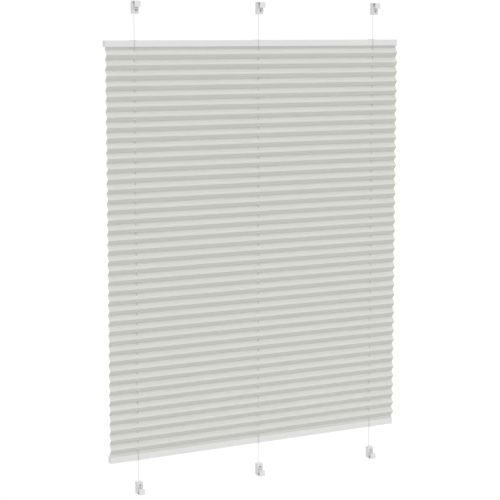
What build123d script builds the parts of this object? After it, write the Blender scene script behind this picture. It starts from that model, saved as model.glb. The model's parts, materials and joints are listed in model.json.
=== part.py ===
from build123d import *
import math
import os

# Pleated blind held on three taut cords between clamp brackets.  All sizes are in millimetres.
# X runs along the rails and Z points up.  -Y is the side on which the clamp hooks stand.
# The origin is the middle of the lined seat in the top middle hook, where the blind hangs.

# ---- Blind as a whole ---------------------------------------------------------------------
BLIND_HEIGHT = 1250.0          # outer face of the top rail to outer face of the bottom rail
BLIND_WIDTH = 1000.0           # the top rail over both end caps
BOTTOM_RAIL_SHORTER = 5.0      # bottom rail shorter than the top rail
FABRIC_NARROWER = 3.0          # cloth narrower than the top rail
CORD_FROM_END = 91.0           # end of the top rail to the nearest cord
TOP_CORD_FREE = 77.0           # cord seen between the top bracket and the top rail
BOTTOM_CORD_FREE = 64.0        # cord seen between the bottom rail and the bottom bracket

# ---- Pleated fabric -----------------------------------------------------------------------
NOMINAL_PITCH = 30.0           # back fold to back fold, before it is fitted to the height
PLEAT_DEPTH = 12.0             # front fold to back fold, on the middle of the cloth
CLOTH_THICKNESS = 0.35
FOLD_RADIUS = 0.8              # on the middle of the cloth
CORD_HOLE_CLEARANCE = 0.6      # hole in the cloth round the cord
TONGUE_NARROWER = 20.0         # cloth inside the rails, kept clear of the end caps
TONGUE_LENGTH = 4.0
TONGUE_BEHIND_CORD = 2.2       # the tongue stands behind the cords
CLOTH_LEAD = 0.2               # straight cloth under the rail before it slopes

# ---- Rails --------------------------------------------------------------------------------
RAIL_DEPTH = 20.0
RAIL_HEIGHT = 19.0
RAIL_AHEAD = 1.5               # front face of the rail ahead of the cords
RAIL_WALL = 1.2
RAIL_CORNER = 0.8
STRIP_CHAMBER_DEPTH = 5.6
STRIP_CHAMBER_HEIGHT = 4.4
RAIL_SLIT = 1.2                # lets the cloth into the strip chamber
CAP_PLATE = 2.0
CAP_PLUG = 8.0
CAP_EDGE = 0.6
PLUG_CLEARANCE = 0.1

# ---- Strip that grips the cloth -----------------------------------------------------------
STRIP_CLEARANCE = 0.2
STRIP_LIFT = 0.1
STRIP_HEIGHT = 3.7
STRIP_SLIT = 0.5
STRIP_SLIT_DEPTH = 3.0
STRIP_NOTCH_CLEARANCE = 0.15

# ---- Cord guides and the pads that brake the cords ----------------------------------------
NOSE_WIDTH = 4.0
NOSE_BACK_WALL = 0.42          # wall of the nose behind the bore
GUIDE_WIDTH = 12.0
GUIDE_BACK_GAP = 0.8           # back of the guide to the rail's back wall
GUIDE_FLOOR_GAP = 0.3          # foot of the guide to the roof of the strip chamber
GUIDE_FRONT_GAP = 0.05
FLANGE_WIDTH = 15.0
FLANGE_THICKNESS = 0.8
FLANGE_FRONT_SETBACK = 0.3
FLANGE_BACK_SETBACK = 1.0
GUIDE_RUN = 0.08               # bore to cord
CORD_SLOT = 0.8                # slot that leads the cord into the bore from the front
GUIDE_FIT = 0.05
PAD_WIDTH = 2.8
PAD_DEPTH = 3.85
PAD_TOP = 3.1
PAD_FLOOR_GAP = 0.1            # foot of the pad above the foot of the guide
PAD_TOUCH = 0.05
PAD_FIT = 0.1

# ---- Cords and ferrules -------------------------------------------------------------------
CORD_RADIUS = 0.5
FERRULE_RADIUS = 1.6
FERRULE_LENGTH = 6.0
FERRULE_FIT = 0.02
FERRULE_SEAT_GAP = 0.05

# ---- Bracket body -------------------------------------------------------------------------
BODY_WIDTH = 19.0
BODY_BACK = 2.5                # back face behind the cord
SHOE_FRONT = 14.5              # front face of the half next to the blind
SHOE_HEIGHT = 17.0
BLOCK_FRONT = 13.0             # front face of the half inside the hook
WEB_HEIGHT = 34.5              # end of the bracket next to the blind, to the web of the hook
BODY_CORNER = 1.2
MOUTH_CHAMFER = 0.8
BODY_BORE_CLEARANCE = 0.2      # bore to cord
FUNNEL_RADIUS = 2.0
FUNNEL_DEPTH = 1.5
POCKET_FLOOR = 20.0
POCKET_CLEARANCE = 0.2         # pocket to ferrule

# ---- Screw that pinches the cord ----------------------------------------------------------
SCREW_HEIGHT = 10.0
RING_RADIUS = 4.2
RING_PROUD = 0.5
RECESS_RADIUS = 2.9
RECESS_DEPTH = 2.5
CORD_SCREW_RADIUS = 1.45
CORD_SCREW_FIT = 0.05
CORD_SCREW_TOUCH = 0.05
CORD_SCREW_HEAD_RADIUS = 2.6
CORD_SCREW_HEAD_LENGTH = 1.9
DRIVE_SLOT = 0.8
DRIVE_SLOT_DEPTH = 0.9

# ---- Clamp hook, its screw and its lining -------------------------------------------------
HOOK_WIDTH = 18.0
HOOK_WEB = 2.5
HOOK_PLATE = 2.0
SASH_GAP = 10.0                # room for the edge of the sash
HOOK_TIP_ABOVE_SHOE = 2.0
HOOK_CORNER = 1.9
HOOK_TIP_CORNER = 3.0
SASH_PAD = 1.0                 # lining of the hook, under its web and behind its plate
SASH_PAD_WIDTH = 15.0
SASH_PAD_HEIGHT = 14.0
SASH_PAD_BACK_GAP = 0.5        # lining to the block
HOOK_SCREW_AHEAD = 7.0
HOOK_SCREW_RADIUS = 1.35
HOOK_SCREW_LENGTH = 11.0
HOOK_SCREW_FIT = 0.05
HOOK_HOLE_RADIUS = 1.6
HOOK_HEAD_RADIUS = 2.9
HOOK_HEAD_DEPTH = 1.4

# ---- Places that follow from the sizes ----------------------------------------------------
SASH_BACK = SHOE_FRONT + RING_PROUD
SASH_FRONT = SASH_BACK + SASH_GAP
HOOK_FRONT = SASH_FRONT + SASH_PAD + HOOK_PLATE
HOOK_TIP_HEIGHT = SHOE_HEIGHT + HOOK_TIP_ABOVE_SHOE
CORD_Y = (SASH_FRONT + SASH_BACK) / 2
TOP_BRACKET_Z = SASH_PAD - WEB_HEIGHT
TOP_RAIL_Z = TOP_BRACKET_Z - TOP_CORD_FREE
BOTTOM_RAIL_Z = TOP_RAIL_Z - BLIND_HEIGHT
BOTTOM_BRACKET_Z = BOTTOM_RAIL_Z - BOTTOM_CORD_FREE
FERRULE_END = POCKET_FLOOR + FERRULE_SEAT_GAP + FERRULE_LENGTH
POCKET_RADIUS = FERRULE_RADIUS + POCKET_CLEARANCE
BODY_BORE_RADIUS = CORD_RADIUS + BODY_BORE_CLEARANCE
CHAMBER_FRONT = RAIL_WALL - RAIL_AHEAD
CHAMBER_BACK = RAIL_DEPTH - RAIL_AHEAD - RAIL_WALL
STRIP_ROOF = RAIL_HEIGHT - RAIL_WALL - STRIP_CHAMBER_HEIGHT
GUIDE_BORE_RADIUS = CORD_RADIUS + GUIDE_RUN
NOSE_BEHIND_CORD = GUIDE_BORE_RADIUS + NOSE_BACK_WALL
GUIDE_REACH = CHAMBER_BACK - GUIDE_BACK_GAP
GUIDE_FALL = STRIP_ROOF - RAIL_WALL - GUIDE_FLOOR_GAP
PAD_BOTTOM = GUIDE_FALL - PAD_FLOOR_GAP
CORD_HOLE_RADIUS = CORD_RADIUS + CORD_HOLE_CLEARANCE
BOTTOM_RAIL_LENGTH = BLIND_WIDTH - BOTTOM_RAIL_SHORTER
FABRIC_WIDTH = BLIND_WIDTH - FABRIC_NARROWER
TONGUE_WIDTH = BLIND_WIDTH - TONGUE_NARROWER
CORD_SPACING = BLIND_WIDTH / 2 - CORD_FROM_END
CLOTH_TOP = TOP_RAIL_Z - RAIL_HEIGHT
CLOTH_BOTTOM = BOTTOM_RAIL_Z + RAIL_HEIGHT
PLEAT_COUNT = math.floor((CLOTH_TOP - CLOTH_BOTTOM) / NOMINAL_PITCH)
PLEAT_PITCH = (CLOTH_TOP - CLOTH_BOTTOM) / (PLEAT_COUNT + 0.5)
CORD_PLACES = {"left": -CORD_SPACING, "middle": 0.0, "right": CORD_SPACING}
PAST = 1.0                     # how far a cutting shape runs past the face that it opens

os.makedirs("parts", exist_ok=True)


def block(x_range, y_range, z_range):
    """A box given by its two limits along each axis."""
    low = (x_range[0], y_range[0], z_range[0])
    high = (x_range[1], y_range[1], z_range[1])
    size = [b - a for a, b in zip(low, high)]
    middle = [(a + b) / 2 for a, b in zip(low, high)]
    return Pos(*middle) * Box(*size)


def across(width):
    """The limits of a width that is centred on zero."""
    return (-width / 2, width / 2)


def upright(radius, z_low, z_high, y=0.0):
    """A cylinder along Z."""
    return Pos(0, y, (z_low + z_high) / 2) * Cylinder(radius, z_high - z_low)


def fore_and_aft(radius, y_low, y_high, z):
    """A cylinder along Y."""
    return Pos(0, (y_low + y_high) / 2, z) * Rot(90, 0, 0) * Cylinder(radius, y_high - y_low)


def rectangle(y_range, z_range):
    """A rectangle in the section plane, given by its limits."""
    width = y_range[1] - y_range[0]
    height = z_range[1] - z_range[0]
    return Pos((y_range[0] + y_range[1]) / 2, (z_range[0] + z_range[1]) / 2) * Rectangle(width, height)


def drawn_along_x(section, length):
    """A section in the YZ plane, drawn out along X and centred."""
    return extrude(Plane.YZ * section, amount=length / 2, both=True)


def lines_along(shape, axis):
    return shape.edges().filter_by(axis)


# ---- Rails: z = 0 is the outer face, the cloth leaves at z = -RAIL_HEIGHT --------------------
def rail_outline():
    middle = Pos(RAIL_DEPTH / 2 - RAIL_AHEAD, -RAIL_HEIGHT / 2)
    return middle * RectangleRounded(RAIL_DEPTH, RAIL_HEIGHT, RAIL_CORNER)


def rail_section():
    """Hollow section: a main chamber, and a strip chamber with a slit for the cloth."""
    strip_back = CHAMBER_FRONT + STRIP_CHAMBER_DEPTH
    main_front = strip_back + RAIL_WALL
    floor = RAIL_WALL - RAIL_HEIGHT
    chamber = rectangle((CHAMBER_FRONT, CHAMBER_BACK), (RAIL_WALL - STRIP_ROOF, -RAIL_WALL))
    foot = rectangle((main_front, CHAMBER_BACK), (floor, RAIL_WALL - STRIP_ROOF))
    strip_chamber = rectangle((CHAMBER_FRONT, strip_back), (floor, -STRIP_ROOF))
    slit_sides = (TONGUE_BEHIND_CORD - RAIL_SLIT / 2, TONGUE_BEHIND_CORD + RAIL_SLIT / 2)
    slit = rectangle(slit_sides, (-RAIL_HEIGHT - PAST, floor))
    return rail_outline() - (chamber + foot) - strip_chamber - slit


def rail(length):
    body = drawn_along_x(rail_section(), length - 2 * CAP_PLATE)
    nose_room = block(
        across(NOSE_WIDTH + 2 * GUIDE_FIT),
        (-RAIL_AHEAD - PAST, NOSE_BEHIND_CORD + GUIDE_FIT),
        (-RAIL_HEIGHT - PAST, PAST),
    )
    window = block(
        across(GUIDE_WIDTH + 2 * GUIDE_FIT),
        (CHAMBER_FRONT, GUIDE_REACH + GUIDE_FIT),
        (-RAIL_WALL - PAST, PAST),
    )
    for x in CORD_PLACES.values():
        body -= Pos(x, 0, 0) * (nose_room + window)
    return body


def end_cap(length, side):
    """side is -1 at the left end and +1 at the right end."""
    plate = extrude(Plane.YZ * rail_outline(), amount=CAP_PLATE)
    outer_face = plate.faces().sort_by(Axis.X)[-1]
    plate = fillet(outer_face.edges(), CAP_EDGE)
    plug = block(
        (-CAP_PLUG, 0),
        (CHAMBER_FRONT + PLUG_CLEARANCE, CHAMBER_BACK - PLUG_CLEARANCE),
        (RAIL_WALL - STRIP_ROOF + PLUG_CLEARANCE, -RAIL_WALL - PLUG_CLEARANCE),
    )
    cap = Pos(length / 2 - CAP_PLATE, 0, 0) * (plate + plug)
    return cap if side > 0 else mirror(cap, about=Plane.YZ)


def strip():
    """Plastic strip in the strip chamber, with the cloth in its slit."""
    floor = RAIL_WALL - RAIL_HEIGHT + STRIP_LIFT
    front = CHAMBER_FRONT + STRIP_CLEARANCE
    back = CHAMBER_FRONT + STRIP_CHAMBER_DEPTH - STRIP_CLEARANCE
    bar = block(across(TONGUE_WIDTH), (front, back), (floor, floor + STRIP_HEIGHT))
    slit_sides = (TONGUE_BEHIND_CORD - STRIP_SLIT / 2, TONGUE_BEHIND_CORD + STRIP_SLIT / 2)
    bar -= block(across(TONGUE_WIDTH + PAST), slit_sides, (floor - PAST, floor + STRIP_SLIT_DEPTH))
    notch = block(
        across(NOSE_WIDTH + 4 * STRIP_NOTCH_CLEARANCE),
        (front - PAST, NOSE_BEHIND_CORD + STRIP_NOTCH_CLEARANCE),
        (floor - PAST, floor + STRIP_HEIGHT + PAST),
    )
    for x in CORD_PLACES.values():
        bar -= Pos(x, 0, 0) * notch
    return bar


def cord_guide():
    """Moulded guide: a nose in the rail's front wall, a body in the rail and a flange on it."""
    nose = block(across(NOSE_WIDTH), (-RAIL_AHEAD, NOSE_BEHIND_CORD), (-RAIL_HEIGHT, 0))
    body = block(
        across(GUIDE_WIDTH), (CHAMBER_FRONT + GUIDE_FRONT_GAP, GUIDE_REACH), (-GUIDE_FALL, 0)
    )
    flange_front = FLANGE_FRONT_SETBACK - RAIL_AHEAD
    flange_back = RAIL_DEPTH - RAIL_AHEAD - FLANGE_BACK_SETBACK
    flange = block(across(FLANGE_WIDTH), (flange_front, flange_back), (0, FLANGE_THICKNESS))
    flange = fillet(lines_along(flange, Axis.Z), 2 * FLANGE_BACK_SETBACK)
    guide = nose + body + flange
    guide -= upright(GUIDE_BORE_RADIUS, -RAIL_HEIGHT - PAST, FLANGE_THICKNESS + PAST)
    guide -= block(
        across(CORD_SLOT),
        (-RAIL_AHEAD - PAST, 0),
        (-RAIL_HEIGHT - PAST, FLANGE_THICKNESS + PAST),
    )
    pocket_back = CORD_RADIUS + PAD_TOUCH + PAD_DEPTH + PAD_FIT
    guide -= block(
        across(PAD_WIDTH + 2 * PAD_FIT), (0, pocket_back), (-GUIDE_FALL - PAST, PAD_FIT - PAD_TOP)
    )
    return guide


def brake_pad():
    front = CORD_RADIUS + PAD_TOUCH
    return block(across(PAD_WIDTH), (front, front + PAD_DEPTH), (-PAD_BOTTOM, -PAD_TOP))


# ---- Pleated cloth -----------------------------------------------------------------------
def cloth_middle_line():
    """Corner points (y, z) of the middle of the cloth, from the top tongue to the bottom one."""
    tongue = TONGUE_BEHIND_CORD
    line = [(tongue, CLOTH_TOP + TONGUE_LENGTH), (tongue, CLOTH_TOP - CLOTH_LEAD)]
    for fold in range(2 * PLEAT_COUNT + 1):
        y = PLEAT_DEPTH / 2 if fold % 2 == 0 else -PLEAT_DEPTH / 2
        line.append((y, CLOTH_TOP - (2 * fold + 1) * PLEAT_PITCH / 4))
    line.append((tongue, CLOTH_BOTTOM + CLOTH_LEAD))
    line.append((tongue, CLOTH_BOTTOM - TONGUE_LENGTH))
    return line


def beside(line, distance):
    """The line moved sideways by a distance, with sharp corners."""
    moved = []
    for i, (y, z) in enumerate(line):
        before = line[max(i - 1, 0)]
        after = line[min(i + 1, len(line) - 1)]
        normals = []
        for a, b in ((before, (y, z)), ((y, z), after)):
            length = math.dist(a, b)
            if length > 0:
                normals.append(((a[1] - b[1]) / length, (b[0] - a[0]) / length))
        n = [sum(values) / len(normals) for values in zip(*normals)]
        scale = distance / (n[0] ** 2 + n[1] ** 2)
        moved.append((y + n[0] * scale, z + n[1] * scale))
    return moved


def pleated_cloth():
    line = cloth_middle_line()
    half = CLOTH_THICKNESS / 2
    outline = beside(line, half) + beside(line, -half)[::-1]
    section = make_face(Polyline(*outline, close=True))
    tip = PLEAT_DEPTH / 2
    folds = [v for v in section.vertices() if abs(v.X) > tip - CLOTH_THICKNESS]
    outer = [v for v in folds if abs(v.X) > tip]
    section = fillet(outer, FOLD_RADIUS + half)
    inner = [v for v in section.vertices() if tip - CLOTH_THICKNESS < abs(v.X) < tip]
    corners = {round(p[1], 3) for p in beside(line, half) + beside(line, -half)}
    inner = [v for v in inner if round(v.Y, 3) in corners]
    section = fillet(inner, FOLD_RADIUS - half)
    cloth = drawn_along_x(section, FABRIC_WIDTH)
    cheek = (FABRIC_WIDTH - TONGUE_WIDTH) / 2 + PAST
    tongue_end = TONGUE_LENGTH + PAST
    for z_range in ((CLOTH_TOP, CLOTH_TOP + tongue_end), (CLOTH_BOTTOM - tongue_end, CLOTH_BOTTOM)):
        for side in (-1, 1):
            x = side * (TONGUE_WIDTH + cheek) / 2
            trim = block(across(cheek), (0, 2 * TONGUE_BEHIND_CORD), z_range)
            cloth -= Pos(x, 0, 0) * trim
    for x in CORD_PLACES.values():
        cloth -= Pos(x, 0, 0) * upright(CORD_HOLE_RADIUS, CLOTH_BOTTOM, CLOTH_TOP)
    return cloth


# ---- Brackets: z = 0 is the end next to the blind, +z points away from it -------------------
def bracket_body():
    shoe = block(across(BODY_WIDTH), (-SHOE_FRONT, BODY_BACK), (0, SHOE_HEIGHT))
    upper = block(across(BODY_WIDTH), (-BLOCK_FRONT, BODY_BACK), (SHOE_HEIGHT, WEB_HEIGHT))
    body = fillet(lines_along(shoe + upper, Axis.Z), BODY_CORNER)
    body = chamfer(body.faces().sort_by(Axis.Z)[0].edges(), MOUTH_CHAMFER)
    body += fore_and_aft(RING_RADIUS, -SHOE_FRONT - RING_PROUD, -SHOE_FRONT + PAST, SCREW_HEIGHT)
    body -= fore_and_aft(
        RECESS_RADIUS, -SHOE_FRONT - RING_PROUD - PAST, RECESS_DEPTH - SHOE_FRONT, SCREW_HEIGHT
    )
    body -= fore_and_aft(CORD_SCREW_RADIUS + CORD_SCREW_FIT, -SHOE_FRONT, 0, SCREW_HEIGHT)
    body -= upright(BODY_BORE_RADIUS, -PAST, POCKET_FLOOR + PAST)
    body -= Pos(0, 0, FUNNEL_DEPTH / 2) * Cone(FUNNEL_RADIUS, BODY_BORE_RADIUS, FUNNEL_DEPTH)
    body -= upright(POCKET_RADIUS, POCKET_FLOOR, WEB_HEIGHT + PAST)
    screw_tip = WEB_HEIGHT + HOOK_WEB - HOOK_SCREW_LENGTH
    body -= upright(
        HOOK_SCREW_RADIUS + HOOK_SCREW_FIT, screw_tip - PAST, WEB_HEIGHT + PAST, -HOOK_SCREW_AHEAD
    )
    return body


def clamp_hook():
    top = WEB_HEIGHT + HOOK_WEB
    web = block(across(HOOK_WIDTH), (-HOOK_FRONT, BODY_BACK), (WEB_HEIGHT, top))
    plate = block(across(HOOK_WIDTH), (-HOOK_FRONT, HOOK_PLATE - HOOK_FRONT), (HOOK_TIP_HEIGHT, top))
    hook = web + plate
    bend = lines_along(hook, Axis.X).sort_by(lambda e: e.center().Z - e.center().Y)[-1]
    hook = fillet(bend, HOOK_CORNER)
    tips = lines_along(hook, Axis.Y).sort_by(Axis.Z)[:2]
    hook = fillet(tips, HOOK_TIP_CORNER)
    hook -= upright(HOOK_HOLE_RADIUS, WEB_HEIGHT - PAST, top + PAST, -HOOK_SCREW_AHEAD)
    sink = Cone(HOOK_HOLE_RADIUS, HOOK_HEAD_RADIUS + HOOK_SCREW_FIT, HOOK_HEAD_DEPTH)
    hook -= Pos(0, -HOOK_SCREW_AHEAD, top - HOOK_HEAD_DEPTH / 2) * sink
    return hook


def hook_screw():
    top = WEB_HEIGHT + HOOK_WEB - HOOK_SCREW_FIT
    y = -HOOK_SCREW_AHEAD
    shank = upright(HOOK_SCREW_RADIUS, top - HOOK_SCREW_LENGTH, top - HOOK_HEAD_DEPTH, y)
    head = Cone(HOOK_SCREW_RADIUS, HOOK_HEAD_RADIUS - HOOK_SCREW_FIT, HOOK_HEAD_DEPTH)
    screw = shank + Pos(0, y, top - HOOK_HEAD_DEPTH / 2) * head
    slot = block(
        across(2 * HOOK_HEAD_RADIUS + PAST),
        (y - DRIVE_SLOT / 2, y + DRIVE_SLOT / 2),
        (top - DRIVE_SLOT_DEPTH, top + PAST),
    )
    return screw - slot


def cord_screw():
    seat = RECESS_DEPTH - SHOE_FRONT
    tip = -CORD_RADIUS - CORD_SCREW_TOUCH
    shank = fore_and_aft(CORD_SCREW_RADIUS, seat, tip, SCREW_HEIGHT)
    front = seat - CORD_SCREW_HEAD_LENGTH
    head = fore_and_aft(CORD_SCREW_HEAD_RADIUS, front, seat, SCREW_HEIGHT)
    slot = block(
        across(DRIVE_SLOT),
        (front - PAST, front + DRIVE_SLOT_DEPTH),
        (SCREW_HEIGHT - RECESS_RADIUS, SCREW_HEIGHT + RECESS_RADIUS),
    )
    return shank + head - slot


def ferrule():
    low = POCKET_FLOOR + FERRULE_SEAT_GAP
    tube = upright(FERRULE_RADIUS, low, FERRULE_END)
    return tube - upright(CORD_RADIUS + FERRULE_FIT, low - PAST, FERRULE_END + PAST)


def sash_pad():
    """Lining of the hook.  Its underside is the seat that hangs on the sash."""
    front = HOOK_PLATE - HOOK_FRONT
    under_web = block(
        across(SASH_PAD_WIDTH),
        (front, -BLOCK_FRONT - SASH_PAD_BACK_GAP),
        (WEB_HEIGHT - SASH_PAD, WEB_HEIGHT),
    )
    behind_plate = block(
        across(SASH_PAD_WIDTH), (front, front + SASH_PAD), (WEB_HEIGHT - SASH_PAD_HEIGHT, WEB_HEIGHT)
    )
    return under_web + behind_plate


# ---- Placing -----------------------------------------------------------------------------
def at_top(shape, z, x=0.0):
    """A shape that looks up, moved from its own place to the frame."""
    return Pos(x, CORD_Y, z) * shape


def at_bottom(shape, z, x=0.0):
    """The same shape turned upside down by mirroring."""
    return Pos(x, CORD_Y, z) * mirror(shape, about=Plane.XY)


def save(name, shapes):
    """One file for one node, holding each solid of each shape."""
    solids = [solid for shape in shapes for solid in shape.solids()]
    export_step(Compound(children=solids) if len(solids) > 1 else solids[0], f"parts/{name}.step")


def save_rail_set(end, length, rail_z, place):
    save(f"{end}_rail", [place(rail(length), rail_z)])
    for side_name, side in (("left", -1), ("right", 1)):
        save(f"{end}_rail_cap_{side_name}", [place(end_cap(length, side), rail_z)])
    save(f"{end}_fabric_strip", [place(strip(), rail_z)])
    guide = cord_guide()
    for name, x in CORD_PLACES.items():
        save(f"{end}_cord_guide_{name}", [place(guide, rail_z, x)])
    save(f"{end}_brake_pads", [place(brake_pad(), rail_z, x) for x in CORD_PLACES.values()])


def save_brackets():
    body = bracket_body()
    hook = clamp_hook()
    small = {
        "cord_screws": cord_screw(),
        "hook_screws": hook_screw(),
        "cord_ferrules": ferrule(),
        "sash_pads": sash_pad(),
    }
    ends = (("top", TOP_BRACKET_Z, at_top), ("bottom", BOTTOM_BRACKET_Z, at_bottom))
    for end, z, place in ends:
        for name, x in CORD_PLACES.items():
            save(f"{end}_bracket_{name}", [place(body, z, x)])
            save(f"{end}_clamp_hook_{name}", [place(hook, z, x)])
    for node, shape in small.items():
        save(node, [place(shape, z, x) for _, z, place in ends for x in CORD_PLACES.values()])


def save_cords():
    cord = upright(CORD_RADIUS, BOTTOM_BRACKET_Z - FERRULE_END, TOP_BRACKET_Z + FERRULE_END)
    for name, x in CORD_PLACES.items():
        save(f"cord_{name}", [at_top(cord, 0.0, x)])


save_rail_set("top", BLIND_WIDTH, TOP_RAIL_Z, at_top)
save_rail_set("bottom", BOTTOM_RAIL_LENGTH, BOTTOM_RAIL_Z, at_bottom)
save("pleated_fabric", [at_top(pleated_cloth(), 0.0)])
save_brackets()
save_cords()
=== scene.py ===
import json
import math

import bmesh
import bpy
from mathutils import Matrix, Vector, noise


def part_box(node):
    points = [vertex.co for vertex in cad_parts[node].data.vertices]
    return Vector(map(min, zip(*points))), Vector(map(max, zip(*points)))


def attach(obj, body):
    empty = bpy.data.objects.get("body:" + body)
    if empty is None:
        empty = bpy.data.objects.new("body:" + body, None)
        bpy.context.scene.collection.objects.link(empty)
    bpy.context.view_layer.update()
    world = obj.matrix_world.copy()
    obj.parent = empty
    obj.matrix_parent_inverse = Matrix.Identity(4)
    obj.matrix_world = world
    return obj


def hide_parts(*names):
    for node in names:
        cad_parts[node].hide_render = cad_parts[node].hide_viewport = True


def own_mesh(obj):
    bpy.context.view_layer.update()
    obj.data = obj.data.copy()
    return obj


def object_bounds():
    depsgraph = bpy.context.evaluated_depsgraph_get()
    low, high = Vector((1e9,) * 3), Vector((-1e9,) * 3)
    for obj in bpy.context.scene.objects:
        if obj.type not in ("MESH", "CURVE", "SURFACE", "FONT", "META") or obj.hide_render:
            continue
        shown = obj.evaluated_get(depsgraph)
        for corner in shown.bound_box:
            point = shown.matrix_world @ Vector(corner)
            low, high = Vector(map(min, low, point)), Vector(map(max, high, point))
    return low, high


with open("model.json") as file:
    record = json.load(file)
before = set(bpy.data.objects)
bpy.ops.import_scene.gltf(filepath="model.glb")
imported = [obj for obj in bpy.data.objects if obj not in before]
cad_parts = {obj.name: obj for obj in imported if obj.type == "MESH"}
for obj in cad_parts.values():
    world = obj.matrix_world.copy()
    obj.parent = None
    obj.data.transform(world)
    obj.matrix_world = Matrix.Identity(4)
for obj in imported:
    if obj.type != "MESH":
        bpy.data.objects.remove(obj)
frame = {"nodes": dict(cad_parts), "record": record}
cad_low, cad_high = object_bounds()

# Pleated blind: cloth and cords are modelled here, and every other piece gets its finish.
# Lengths are in metres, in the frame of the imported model.
MM = 0.001

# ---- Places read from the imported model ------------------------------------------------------
CORD_SIDES = ("left", "middle", "right")
CORD_BOXES = {side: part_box(f"cord_{side}") for side in CORD_SIDES}
CORD_MIDDLES = {side: (low + high) / 2 for side, (low, high) in CORD_BOXES.items()}
CORD_RADIUS = (CORD_BOXES["left"][1].x - CORD_BOXES["left"][0].x) / 2
CORD_Y = CORD_MIDDLES["middle"].y
CLOTH_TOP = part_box("top_rail")[0].z
CLOTH_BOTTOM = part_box("bottom_rail")[1].z
CLOTH_LOW, CLOTH_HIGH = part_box("pleated_fabric")

# ---- Pleated cloth ------------------------------------------------------------------------
PLEATS = 40
PLEAT_PITCH = (CLOTH_TOP - CLOTH_BOTTOM) / (PLEATS + 0.5)
PLEAT_DEPTH = 12 * MM
CLOTH_THICKNESS = 0.35 * MM
FOLD_RADIUS = 0.8 * MM
FOLD_SEGMENTS = 4
# A tongue at each end of the cloth goes into the rail, behind the cords and clear of the end caps.
TONGUE_BEHIND_CORD = 2.2 * MM
TONGUE_CUT_BACK = 8.5 * MM
CLOTH_LEAD = 0.2 * MM
CORD_HOLE_RADIUS = 1.7 * MM
CORD_HOLE_SIDES = 14
CLOTH_COLUMNS = 44
CLOTH_ROWS_PER_FACE = 3
WAVE_ALONG_FOLDS = 0.22 * MM
WAVE_DOWN_CLOTH = 0.18 * MM
WAVE_OF_HEIGHT = 0.3 * MM
CLOTH_SMOOTH_BELOW = 60.0
# The cloth pulled flat, with its tongues, and how much cloth goes into each bit of its height.
FACE_LENGTH = math.hypot(PLEAT_DEPTH, PLEAT_PITCH / 2)
ALONG_CLOTH = FACE_LENGTH / (PLEAT_PITCH / 2)
FLAT_WIDTH = CLOTH_HIGH.x - CLOTH_LOW.x


def mesh_object(name, bm):
    """A finished bmesh as an object in the scene."""
    mesh = bpy.data.meshes.new(name)
    bm.to_mesh(mesh)
    bm.free()
    made = bpy.data.objects.new(name, mesh)
    bpy.context.scene.collection.objects.link(made)
    return made


def new_piece(name, bm, body, smooth_below):
    """A piece that rides on a body, smooth where its faces meet at less than an angle in degrees."""
    piece = mesh_object(name, bm)
    piece.data.shade_smooth()
    piece.data.set_sharp_from_angle(angle=math.radians(smooth_below))
    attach(piece, body)
    return piece


def apply_modifiers(piece):
    """The piece's mesh becomes what its modifiers make of it."""
    graph = bpy.context.evaluated_depsgraph_get()
    mesh = bpy.data.meshes.new_from_object(piece.evaluated_get(graph), depsgraph=graph)
    piece.modifiers.clear()
    piece.data = mesh


def fold_line():
    """Corner points (y, z) down the middle of the cloth, from the top tongue to the bottom one."""
    tongue = CORD_Y + TONGUE_BEHIND_CORD
    line = [(tongue, CLOTH_HIGH.z), (tongue, CLOTH_TOP - CLOTH_LEAD)]
    for fold in range(2 * PLEATS + 1):
        y = CORD_Y + PLEAT_DEPTH / 2 * (1 if fold % 2 == 0 else -1)
        line.append((y, CLOTH_TOP - (2 * fold + 1) * PLEAT_PITCH / 4))
    line.append((tongue, CLOTH_BOTTOM + CLOTH_LEAD))
    line.append((tongue, CLOTH_LOW.z))
    return line


def wander(place, across, down, seed):
    """Smooth noise about zero, with so many turns a metre across and down the cloth."""
    return noise.noise(Vector((place.x * across, place.z * down, seed)))


def unevenness(place):
    """How far the pressed cloth strays from its ideal fold, in y and z."""
    along = wander(place, across=3.1, down=33.0, seed=2.0)
    broad = wander(place, across=1.3, down=4.0, seed=7.0)
    lift = wander(place, across=2.3, down=33.0, seed=11.0)
    return Vector((0.0, WAVE_ALONG_FOLDS * along + WAVE_DOWN_CLOTH * broad, WAVE_OF_HEIGHT * lift))


def edges_across(bm):
    """Edges that run from one side of the cloth to the other."""
    return [e for e in bm.edges if abs(e.verts[0].co.x - e.verts[1].co.x) > FLAT_WIDTH / 2]


def edges_down(bm):
    """Edges that run down the face of a pleat, which the roundings of the folds are too short for."""
    return [e for e in bm.edges if abs(e.verts[0].co.z - e.verts[1].co.z) > PLEAT_PITCH / 4]


def cord_hole_cutter():
    """Three rods, one round each cord, that punch the holes in the cloth."""
    bm = bmesh.new()
    for side in CORD_SIDES:
        x = CORD_MIDDLES[side].x
        middle = Matrix.Translation((x, CORD_Y, (CLOTH_TOP + CLOTH_BOTTOM) / 2))
        bmesh.ops.create_cone(
            bm,
            cap_ends=True,
            segments=CORD_HOLE_SIDES,
            radius1=CORD_HOLE_RADIUS,
            radius2=CORD_HOLE_RADIUS,
            depth=CLOTH_TOP - CLOTH_BOTTOM,
            matrix=middle,
        )
    return mesh_object("cord_hole_cutter", bm)


def map_cloth(mesh):
    """Lays the map along the threads: u across the cloth and v along it, both in metres."""
    layer = mesh.uv_layers.new(name="threads")
    for loop in mesh.loops:
        place = mesh.vertices[loop.vertex_index].co
        layer.data[loop.index].uv = (place.x, (CLOTH_TOP - place.z) * ALONG_CLOTH)


def gripped(vert):
    """Whether a point of the cloth is inside one of the rails."""
    return not CLOTH_BOTTOM < vert.co.z < CLOTH_TOP


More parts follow.
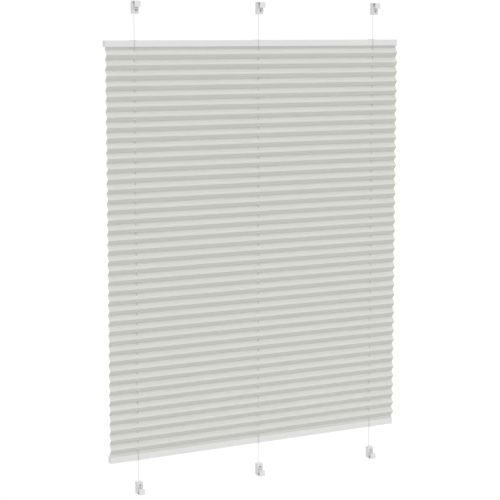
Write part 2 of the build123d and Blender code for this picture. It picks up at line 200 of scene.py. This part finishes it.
def folded_sheet():
    """The fold line drawn across, with rounded folds and the unevenness of real cloth."""
    bm = bmesh.new()
    line = [bm.verts.new((CLOTH_LOW.x, y, z)) for y, z in fold_line()]
    edges = [bm.edges.new(pair) for pair in zip(line, line[1:])]
    drawn = bmesh.ops.extrude_edge_only(bm, edges=edges)["geom"]
    far_side = [g for g in drawn if isinstance(g, bmesh.types.BMVert)]
    bmesh.ops.translate(bm, verts=far_side, vec=(FLAT_WIDTH, 0, 0))
    half_turn = math.atan(PLEAT_DEPTH / (PLEAT_PITCH / 2))
    bmesh.ops.bevel(
        bm,
        geom=[e for e in bm.edges if len(e.link_faces) == 2],
        offset=FOLD_RADIUS * math.tan(half_turn),
        segments=FOLD_SEGMENTS,
        profile=0.5,
        affect="EDGES",
        clamp_overlap=True,
        material=-1,
    )
    rows = CLOTH_ROWS_PER_FACE - 1
    bmesh.ops.subdivide_edges(bm, edges=edges_down(bm), cuts=rows, use_grid_fill=True)
    columns = CLOTH_COLUMNS - 1
    bmesh.ops.subdivide_edges(bm, edges=edges_across(bm), cuts=columns, use_grid_fill=True)
    for vert in bm.verts:
        if not gripped(vert):
            vert.co += unevenness(vert.co)
    tongue_side = CLOTH_HIGH.x - TONGUE_CUT_BACK
    for vert in bm.verts:
        if gripped(vert) and abs(vert.co.x) > tongue_side:
            vert.co.x = math.copysign(tongue_side, vert.co.x)
    bmesh.ops.recalc_face_normals(bm, faces=bm.faces)
    return bm


def pleated_cloth(finish):
    """The cloth with its thickness and cord holes, riding on the top rail set."""
    sheet = folded_sheet()
    cloth = new_piece("pleated_cloth", sheet, "top_rail_set", CLOTH_SMOOTH_BELOW)
    thickness = cloth.modifiers.new("thickness", "SOLIDIFY")
    thickness.thickness = CLOTH_THICKNESS
    thickness.offset = 0
    holes = cloth.modifiers.new("cord_holes", "BOOLEAN")
    cutter = cord_hole_cutter()
    holes.object = cutter
    holes.solver = "EXACT"
    crisp = cloth.modifiers.new("crisp_faces", "WEIGHTED_NORMAL")
    crisp.keep_sharp = True
    apply_modifiers(cloth)
    bpy.data.objects.remove(cutter)
    map_cloth(cloth.data)
    cloth.data.materials.clear()
    cloth.data.materials.append(finish)
    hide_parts("pleated_fabric")
    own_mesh(cloth)


# ---- Braided guide cords --------------------------------------------------------------------
CORD_FACETS = 16
RING_STEP = 0.6 * MM
BRAID_CARRIERS = 4
BRAID_PITCH = 3.0 * MM
BRAID_DEPTH_SHARE = 0.09
CORD_SMOOTH_BELOW = 80.0


def guide_cord(side, finish):
    """A taut braided cord from ferrule to ferrule, with the relief of its braid."""
    low, high = CORD_BOXES[side]
    middle = CORD_MIDDLES[side]
    length = high.z - low.z
    bm = bmesh.new()
    bmesh.ops.create_cone(
        bm,
        cap_ends=True,
        segments=CORD_FACETS,
        radius1=CORD_RADIUS,
        radius2=CORD_RADIUS,
        depth=length,
        matrix=Matrix.Translation(middle),
    )
    long_edges = [e for e in bm.edges if e.calc_length() > length / 2]
    bmesh.ops.subdivide_edges(bm, edges=long_edges, cuts=round(length / RING_STEP), use_grid_fill=True)
    for vert in bm.verts:
        out = Vector((vert.co.x - middle.x, vert.co.y - middle.y, 0.0))
        turn = BRAID_CARRIERS * math.atan2(out.y, out.x)
        rise = 2 * math.pi * vert.co.z / BRAID_PITCH
        hollow = 0.5 - 0.5 * math.cos(turn + rise) * math.cos(turn - rise)
        vert.co -= out * BRAID_DEPTH_SHARE * hollow
    cord = new_piece(f"guide_cord_{side}", bm, "window_side", CORD_SMOOTH_BELOW)
    cord.data.materials.append(finish)
    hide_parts(f"cord_{side}")


# ---- Shader building ------------------------------------------------------------------------
def new_group(name, inputs, outputs):
    """An empty node group with named sockets, each given as (name, kind)."""
    tree = bpy.data.node_groups.new(name, "ShaderNodeTree")
    for socket, kind in inputs:
        tree.interface.new_socket(socket, in_out="INPUT", socket_type=f"NodeSocket{kind}")
    for socket, kind in outputs:
        tree.interface.new_socket(socket, in_out="OUTPUT", socket_type=f"NodeSocket{kind}")
    return tree, tree.nodes.new("NodeGroupInput"), tree.nodes.new("NodeGroupOutput")


def feed(tree, term, socket):
    """Links a term that is itself a socket, or sets one that is a plain value."""
    if isinstance(term, bpy.types.NodeSocket):
        tree.links.new(term, socket)
    else:
        socket.default_value = term


def math_node(tree, operation, *terms):
    """A math node's output, with each term a socket or a number."""
    made = tree.nodes.new("ShaderNodeMath")
    made.operation = operation
    for term, socket in zip(terms, made.inputs):
        feed(tree, term, socket)
    return made.outputs[0]


def noise_node(tree, vector, scale, detail=2.0, roughness=0.5):
    """A noise from 0 to 1, whose scale is a socket or a number."""
    made = tree.nodes.new("ShaderNodeTexNoise")
    tree.links.new(vector, made.inputs["Vector"])
    feed(tree, scale, made.inputs["Scale"])
    made.inputs["Detail"].default_value = detail
    made.inputs["Roughness"].default_value = roughness
    return made.outputs["Fac"]


def stretched(tree, vector, scales):
    """The vector with each part multiplied by its own scale, from a socket or three numbers."""
    made = tree.nodes.new("ShaderNodeVectorMath")
    made.operation = "MULTIPLY"
    tree.links.new(vector, made.inputs[0])
    feed(tree, scales, made.inputs[1])
    return made.outputs[0]


def shaded(tree, colour, factor):
    """The colour made brighter or darker by a factor."""
    made = tree.nodes.new("ShaderNodeVectorMath")
    made.operation = "SCALE"
    tree.links.new(colour, made.inputs[0])
    tree.links.new(factor, made.inputs["Scale"])
    return made.outputs[0]


def around_one(tree, value, spread):
    """A value from 0 to 1 turned into a factor that varies about one."""
    centred = math_node(tree, "SUBTRACT", value, 0.5)
    return math_node(tree, "MULTIPLY_ADD", centred, spread, 1.0)


def moulded_surface():
    """Cloudy tone and a fine grain, as on paint, plastic and rubber."""
    inputs = [("Color", "Color"), ("Tone Spread", "Float"), ("Cloud Scale", "Float")]
    inputs += [("Grain Scale", "Float"), ("Roughness", "Float"), ("Roughness Spread", "Float")]
    outputs = [("Color", "Color"), ("Roughness", "Float"), ("Height", "Float")]
    tree, given, made = new_group("moulded_surface", inputs, outputs)
    place = tree.nodes.new("ShaderNodeTexCoord").outputs["Object"]
    clouds = noise_node(tree, place, given.outputs["Cloud Scale"], detail=3.0)
    grain = noise_node(tree, place, given.outputs["Grain Scale"], detail=2.0, roughness=0.6)
    centred_grain = math_node(tree, "SUBTRACT", grain, 0.5)
    grainy_clouds = math_node(tree, "MULTIPLY_ADD", centred_grain, 0.35, clouds)
    tone = around_one(tree, grainy_clouds, given.outputs["Tone Spread"])
    tree.links.new(shaded(tree, given.outputs["Color"], tone), made.inputs["Color"])
    dull = around_one(tree, clouds, given.outputs["Roughness Spread"])
    roughness = math_node(tree, "MULTIPLY", given.outputs["Roughness"], dull)
    tree.links.new(roughness, made.inputs["Roughness"])
    tree.links.new(grain, made.inputs["Height"])
    return tree


def thread_noise(tree, threads, across, along, detail, roughness):
    """Noise on the cloth's map, with so many turns a metre across the cloth and along it."""
    vector = stretched(tree, threads, (across, along, 1.0))
    return noise_node(tree, vector, 1.0, detail, roughness)


def thread_wave(tree, place, threads_a_metre, drift, strength):
    """A wave with half a turn to each thread, whose spacing drifts a little."""
    count = math_node(tree, "MULTIPLY", place, threads_a_metre)
    turn = math_node(tree, "MULTIPLY", count, math.pi)
    return math_node(tree, "SINE", math_node(tree, "MULTIPLY_ADD", drift, strength, turn))


def woven_surface():
    """Plain weave on the cloth's own map: crossing threads, uneven yarn and long slubs, with painted
    shade in the hollows between threads.
    """
    inputs = [("Color", "Color"), ("Threads Across", "Float"), ("Threads Along", "Float")]
    inputs += [("Thread Shade", "Float"), ("Slub Shade", "Float")]
    outputs = [("Color", "Color"), ("Roughness", "Float"), ("Height", "Float")]
    tree, given, made = new_group("woven_surface", inputs, outputs)
    cloth_map = tree.nodes.new("ShaderNodeUVMap")
    cloth_map.uv_map = "threads"
    threads = cloth_map.outputs["UV"]
    parts = tree.nodes.new("ShaderNodeSeparateXYZ")
    tree.links.new(threads, parts.inputs[0])
    drift = thread_noise(tree, threads, across=14.0, along=90.0, detail=2.0, roughness=0.5)
    warp = thread_wave(tree, parts.outputs["X"], given.outputs["Threads Across"], drift, strength=3.0)
    weft = thread_wave(tree, parts.outputs["Y"], given.outputs["Threads Along"], drift, strength=2.0)
    crossing = math_node(tree, "MULTIPLY", warp, weft)
    height = math_node(tree, "MULTIPLY_ADD", crossing, 0.5, 0.5)
    weft_yarn = thread_noise(tree, threads, across=22.0, along=2100.0, detail=3.0, roughness=0.6)
    warp_yarn = thread_noise(tree, threads, across=2100.0, along=22.0, detail=3.0, roughness=0.6)
    yarn = math_node(tree, "MULTIPLY", math_node(tree, "ADD", weft_yarn, warp_yarn), 0.5)
    slub = thread_noise(tree, threads, across=9.0, along=420.0, detail=2.0, roughness=0.55)
    # Painted shade: the colour darkens where the weave is low, between crossing threads, and the yarn
    # noise adds its own uneven tone.
    shade = math_node(tree, "MULTIPLY_ADD", height, 0.4, yarn)
    yarn_tone_and_hollow_shade = around_one(tree, shade, given.outputs["Thread Shade"])
    slub_tone = around_one(tree, slub, given.outputs["Slub Shade"])
    tone = math_node(tree, "MULTIPLY", yarn_tone_and_hollow_shade, slub_tone)
    tree.links.new(shaded(tree, given.outputs["Color"], tone), made.inputs["Color"])
    roughness = math_node(tree, "MULTIPLY_ADD", yarn, 0.12, 0.8)
    tree.links.new(roughness, made.inputs["Roughness"])
    lumpy_height = math_node(tree, "MULTIPLY_ADD", yarn, 0.6, height)
    tree.links.new(lumpy_height, made.inputs["Height"])
    return tree


def brushed_surface():
    """Fine lines along one direction, as on plated or turned metal."""
    inputs = [("Color", "Color"), ("Lines", "Vector"), ("Tone Spread", "Float"), ("Roughness", "Float")]
    outputs = [("Color", "Color"), ("Roughness", "Float"), ("Height", "Float")]
    tree, given, made = new_group("brushed_surface", inputs, outputs)
    place = tree.nodes.new("ShaderNodeTexCoord").outputs["Object"]
    lines = stretched(tree, place, given.outputs["Lines"])
    streaks = noise_node(tree, lines, 1.0, detail=4.0, roughness=0.65)
    tone = around_one(tree, streaks, given.outputs["Tone Spread"])
    tree.links.new(shaded(tree, given.outputs["Color"], tone), made.inputs["Color"])
    centred = math_node(tree, "SUBTRACT", streaks, 0.5)
    roughness = math_node(tree, "MULTIPLY_ADD", centred, 0.25, given.outputs["Roughness"])
    tree.links.new(roughness, made.inputs["Roughness"])
    tree.links.new(streaks, made.inputs["Height"])
    return tree


def new_finish(name, surface, values, bump_height, bump_strength, **shader_values):
    """A material from one surface group, with its bump and its own shader settings."""
    finish = bpy.data.materials.new(name)
    finish.use_nodes = True
    tree = finish.node_tree
    shader = tree.nodes["Principled BSDF"]
    group = tree.nodes.new("ShaderNodeGroup")
    group.node_tree = surface
    for socket, value in values.items():
        group.inputs[socket].default_value = value
    bump = tree.nodes.new("ShaderNodeBump")
    bump.inputs["Distance"].default_value = bump_height
    bump.inputs["Strength"].default_value = bump_strength
    tree.links.new(group.outputs["Color"], shader.inputs["Base Color"])
    tree.links.new(group.outputs["Roughness"], shader.inputs["Roughness"])
    tree.links.new(group.outputs["Height"], bump.inputs["Height"])
    tree.links.new(bump.outputs["Normal"], shader.inputs["Normal"])
    for socket, value in shader_values.items():
        shader.inputs[socket.replace("_", " ")].default_value = value
    return finish


def paint(name, surface, colour, roughness=0.42):
    """Powder paint on metal: satin, with a thin clear skin."""
    values = {"Color": (*colour, 1), "Tone Spread": 0.03, "Cloud Scale": 18.0, "Grain Scale": 1300.0}
    values |= {"Roughness": roughness, "Roughness Spread": 0.3}
    skin = {"Coat_Weight": 0.12, "Coat_Roughness": 0.3}
    return new_finish(name, surface, values, bump_height=0.05 * MM, bump_strength=0.35, **skin)


def moulding(name, surface, colour, roughness=0.55):
    """Plain moulded plastic, or a yarn's dull fibres, with a fine grain."""
    values = {"Color": (*colour, 1), "Tone Spread": 0.04, "Cloud Scale": 60.0, "Grain Scale": 2600.0}
    values |= {"Roughness": roughness, "Roughness Spread": 0.25}
    return new_finish(name, surface, values, bump_height=0.04 * MM, bump_strength=0.5)


def rubber(name, surface, colour):
    """Matt rubber with a dusty bloom."""
    values = {"Color": (*colour, 1), "Tone Spread": 0.2, "Cloud Scale": 150.0, "Grain Scale": 3200.0}
    values |= {"Roughness": 0.85, "Roughness Spread": 0.15}
    return new_finish(name, surface, values, bump_height=0.08 * MM, bump_strength=0.8)


def metal(name, surface, colour, lines, roughness):
    """Bare metal with fine lines, given as lines a metre in x, y and z."""
    values = {"Color": (*colour, 1), "Lines": lines, "Tone Spread": 0.25, "Roughness": roughness}
    bump = {"bump_height": 0.03 * MM, "bump_strength": 0.4}
    return new_finish(name, surface, values, **bump, Metallic=1.0)


def weave(name, surface, colour):
    """Woven cloth with a faint sheen, its threads counted a metre."""
    values = {"Color": (*colour, 1), "Threads Across": 2600.0, "Threads Along": 2300.0}
    # Thread Shade spreads both the yarn's uneven tone and the painted shade in the weave's hollows.
    values |= {"Thread Shade": 0.14, "Slub Shade": 0.09}
    sheen = {"Sheen_Weight": 0.12, "Sheen_Roughness": 0.5}
    return new_finish(name, surface, values, bump_height=0.12 * MM, bump_strength=0.5, **sheen)


def make_finishes():
    """One finish for each material slot of the record."""
    moulded = moulded_surface()
    woven = woven_surface()
    brushed = brushed_surface()
    zinc_lines = (900.0, 900.0, 60.0)
    crimp_lines = (120.0, 120.0, 900.0)
    return {
        "rail_aluminium": paint("rail_paint", moulded, (0.74, 0.74, 0.74)),
        "hook_steel": paint("hook_paint", moulded, (0.755, 0.755, 0.755), 0.38),
        "cap_plastic": moulding("cap_plastic", moulded, (0.74, 0.74, 0.745)),
        "guide_plastic": moulding("guide_plastic", moulded, (0.66, 0.66, 0.665)),
        "bracket_plastic": moulding("bracket_plastic", moulded, (0.73, 0.73, 0.735), 0.5),
        "strip_plastic": moulding("strip_plastic", moulded, (0.8, 0.8, 0.8)),
        "brake_rubber": rubber("brake_rubber", moulded, (0.05, 0.05, 0.05)),
        "pad_rubber": rubber("pad_rubber", moulded, (0.24, 0.24, 0.25)),
        "cord_yarn": moulding("cord_yarn", moulded, (0.39, 0.39, 0.38), 0.75),
        "screw_steel": metal("zinc_plate", brushed, (0.42, 0.42, 0.43), zinc_lines, 0.4),
        "ferrule_brass": metal("crimped_brass", brushed, (0.72, 0.58, 0.33), crimp_lines, 0.35),
        "pleated_cloth": weave("pleated_cloth", woven, (0.635, 0.64, 0.604)),
    }


def dress_cad_nodes(finishes):
    """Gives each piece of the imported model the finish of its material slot."""
    for part in frame["record"]["subparts"]:
        node = frame["nodes"][part["node"]]
        node.data.materials.clear()
        node.data.materials.append(finishes[part["material_slot"]])


# ---- Studio ---------------------------------------------------------------------------------
FLOOR_DROP = 0.8
FLOOR_SIZE = 60.0
FLOOR_TONE = 0.76
FLOOR_GLOW = 0.21
SOFT_LIGHT = 0.7
WHITE_BEHIND = 1.01
KEY_LIGHT = 1.25
KEY_FROM = Vector((-0.25, -0.62, 0.74))
BACK_LIGHT = 0.45
BACK_FROM = Vector((0.35, 0.72, 0.60))
LIGHT_SPREAD = 65.0
CAMERA_FROM_MIDDLE = Vector((-2.177, -4.027, 0.648))
CAMERA_TURN = -28.05
CAMERA_DIP = 7.19
LENS = 108.36
CAMERA_SHIFT = -0.06
CAMERA_SEES_TO = 200.0


def make_floor():
    """A wide pale floor well below the blind, a little brighter where it is seen directly."""
    bm = bmesh.new()
    bmesh.ops.create_grid(bm, x_segments=1, y_segments=1, size=FLOOR_SIZE / 2)
    bmesh.ops.translate(bm, verts=bm.verts, vec=(0, 0, cad_low.z - FLOOR_DROP))
    floor = mesh_object("floor", bm)
    pale = bpy.data.materials.new("pale_floor")
    pale.use_nodes = True
    shader = pale.node_tree.nodes["Principled BSDF"]
    shader.inputs["Base Color"].default_value = (FLOOR_TONE, FLOOR_TONE, FLOOR_TONE, 1)
    shader.inputs["Roughness"].default_value = 0.9
    shader.inputs["Emission Color"].default_value = (1, 1, 1, 1)
    seen = pale.node_tree.nodes.new("ShaderNodeLightPath").outputs["Is Camera Ray"]
    glow = math_node(pale.node_tree, "MULTIPLY", seen, FLOOR_GLOW)
    pale.node_tree.links.new(glow, shader.inputs["Emission Strength"])
    floor.data.materials.append(pale)


def add_soft_light(name, strength, direction):
    """A broad far light that shines from a direction."""
    light = bpy.data.lights.new(name, "SUN")
    light.energy = strength
    light.angle = math.radians(LIGHT_SPREAD)
    lamp = bpy.data.objects.new(name, light)
    lamp.rotation_euler = direction.to_track_quat("Z", "Y").to_euler()
    bpy.context.scene.collection.objects.link(lamp)


def make_light():
    """An even soft light all round, white where it is seen, and broad lights before and behind."""
    world = bpy.data.worlds.new("studio")
    bpy.context.scene.world = world
    world.use_nodes = True
    tree = world.node_tree
    background = tree.nodes["Background"]
    background.inputs["Color"].default_value = (1, 1, 1, 1)
    seen = tree.nodes.new("ShaderNodeLightPath").outputs["Is Camera Ray"]
    strength = math_node(tree, "MULTIPLY_ADD", seen, WHITE_BEHIND - SOFT_LIGHT, SOFT_LIGHT)
    tree.links.new(strength, background.inputs["Strength"])
    add_soft_light("key", KEY_LIGHT, KEY_FROM)
    add_soft_light("back", BACK_LIGHT, BACK_FROM)


def make_camera():
    """The camera stands to the left of the blind and a little above its middle."""
    camera = bpy.data.cameras.new("camera")
    camera.lens = LENS
    camera.shift_y = CAMERA_SHIFT
    camera.clip_end = CAMERA_SEES_TO
    holder = bpy.data.objects.new("camera", camera)
    holder.location = (cad_low + cad_high) / 2 + CAMERA_FROM_MIDDLE
    holder.rotation_euler = (math.radians(90 - CAMERA_DIP), 0, math.radians(CAMERA_TURN))
    bpy.context.scene.collection.objects.link(holder)
    bpy.context.scene.camera = holder
    bpy.context.scene.view_settings.view_transform = "Standard"


finishes = make_finishes()
dress_cad_nodes(finishes)
pleated_cloth(finishes["pleated_cloth"])
for side in CORD_SIDES:
    guide_cord(side, finishes["cord_yarn"])
make_floor()
make_light()
make_camera()
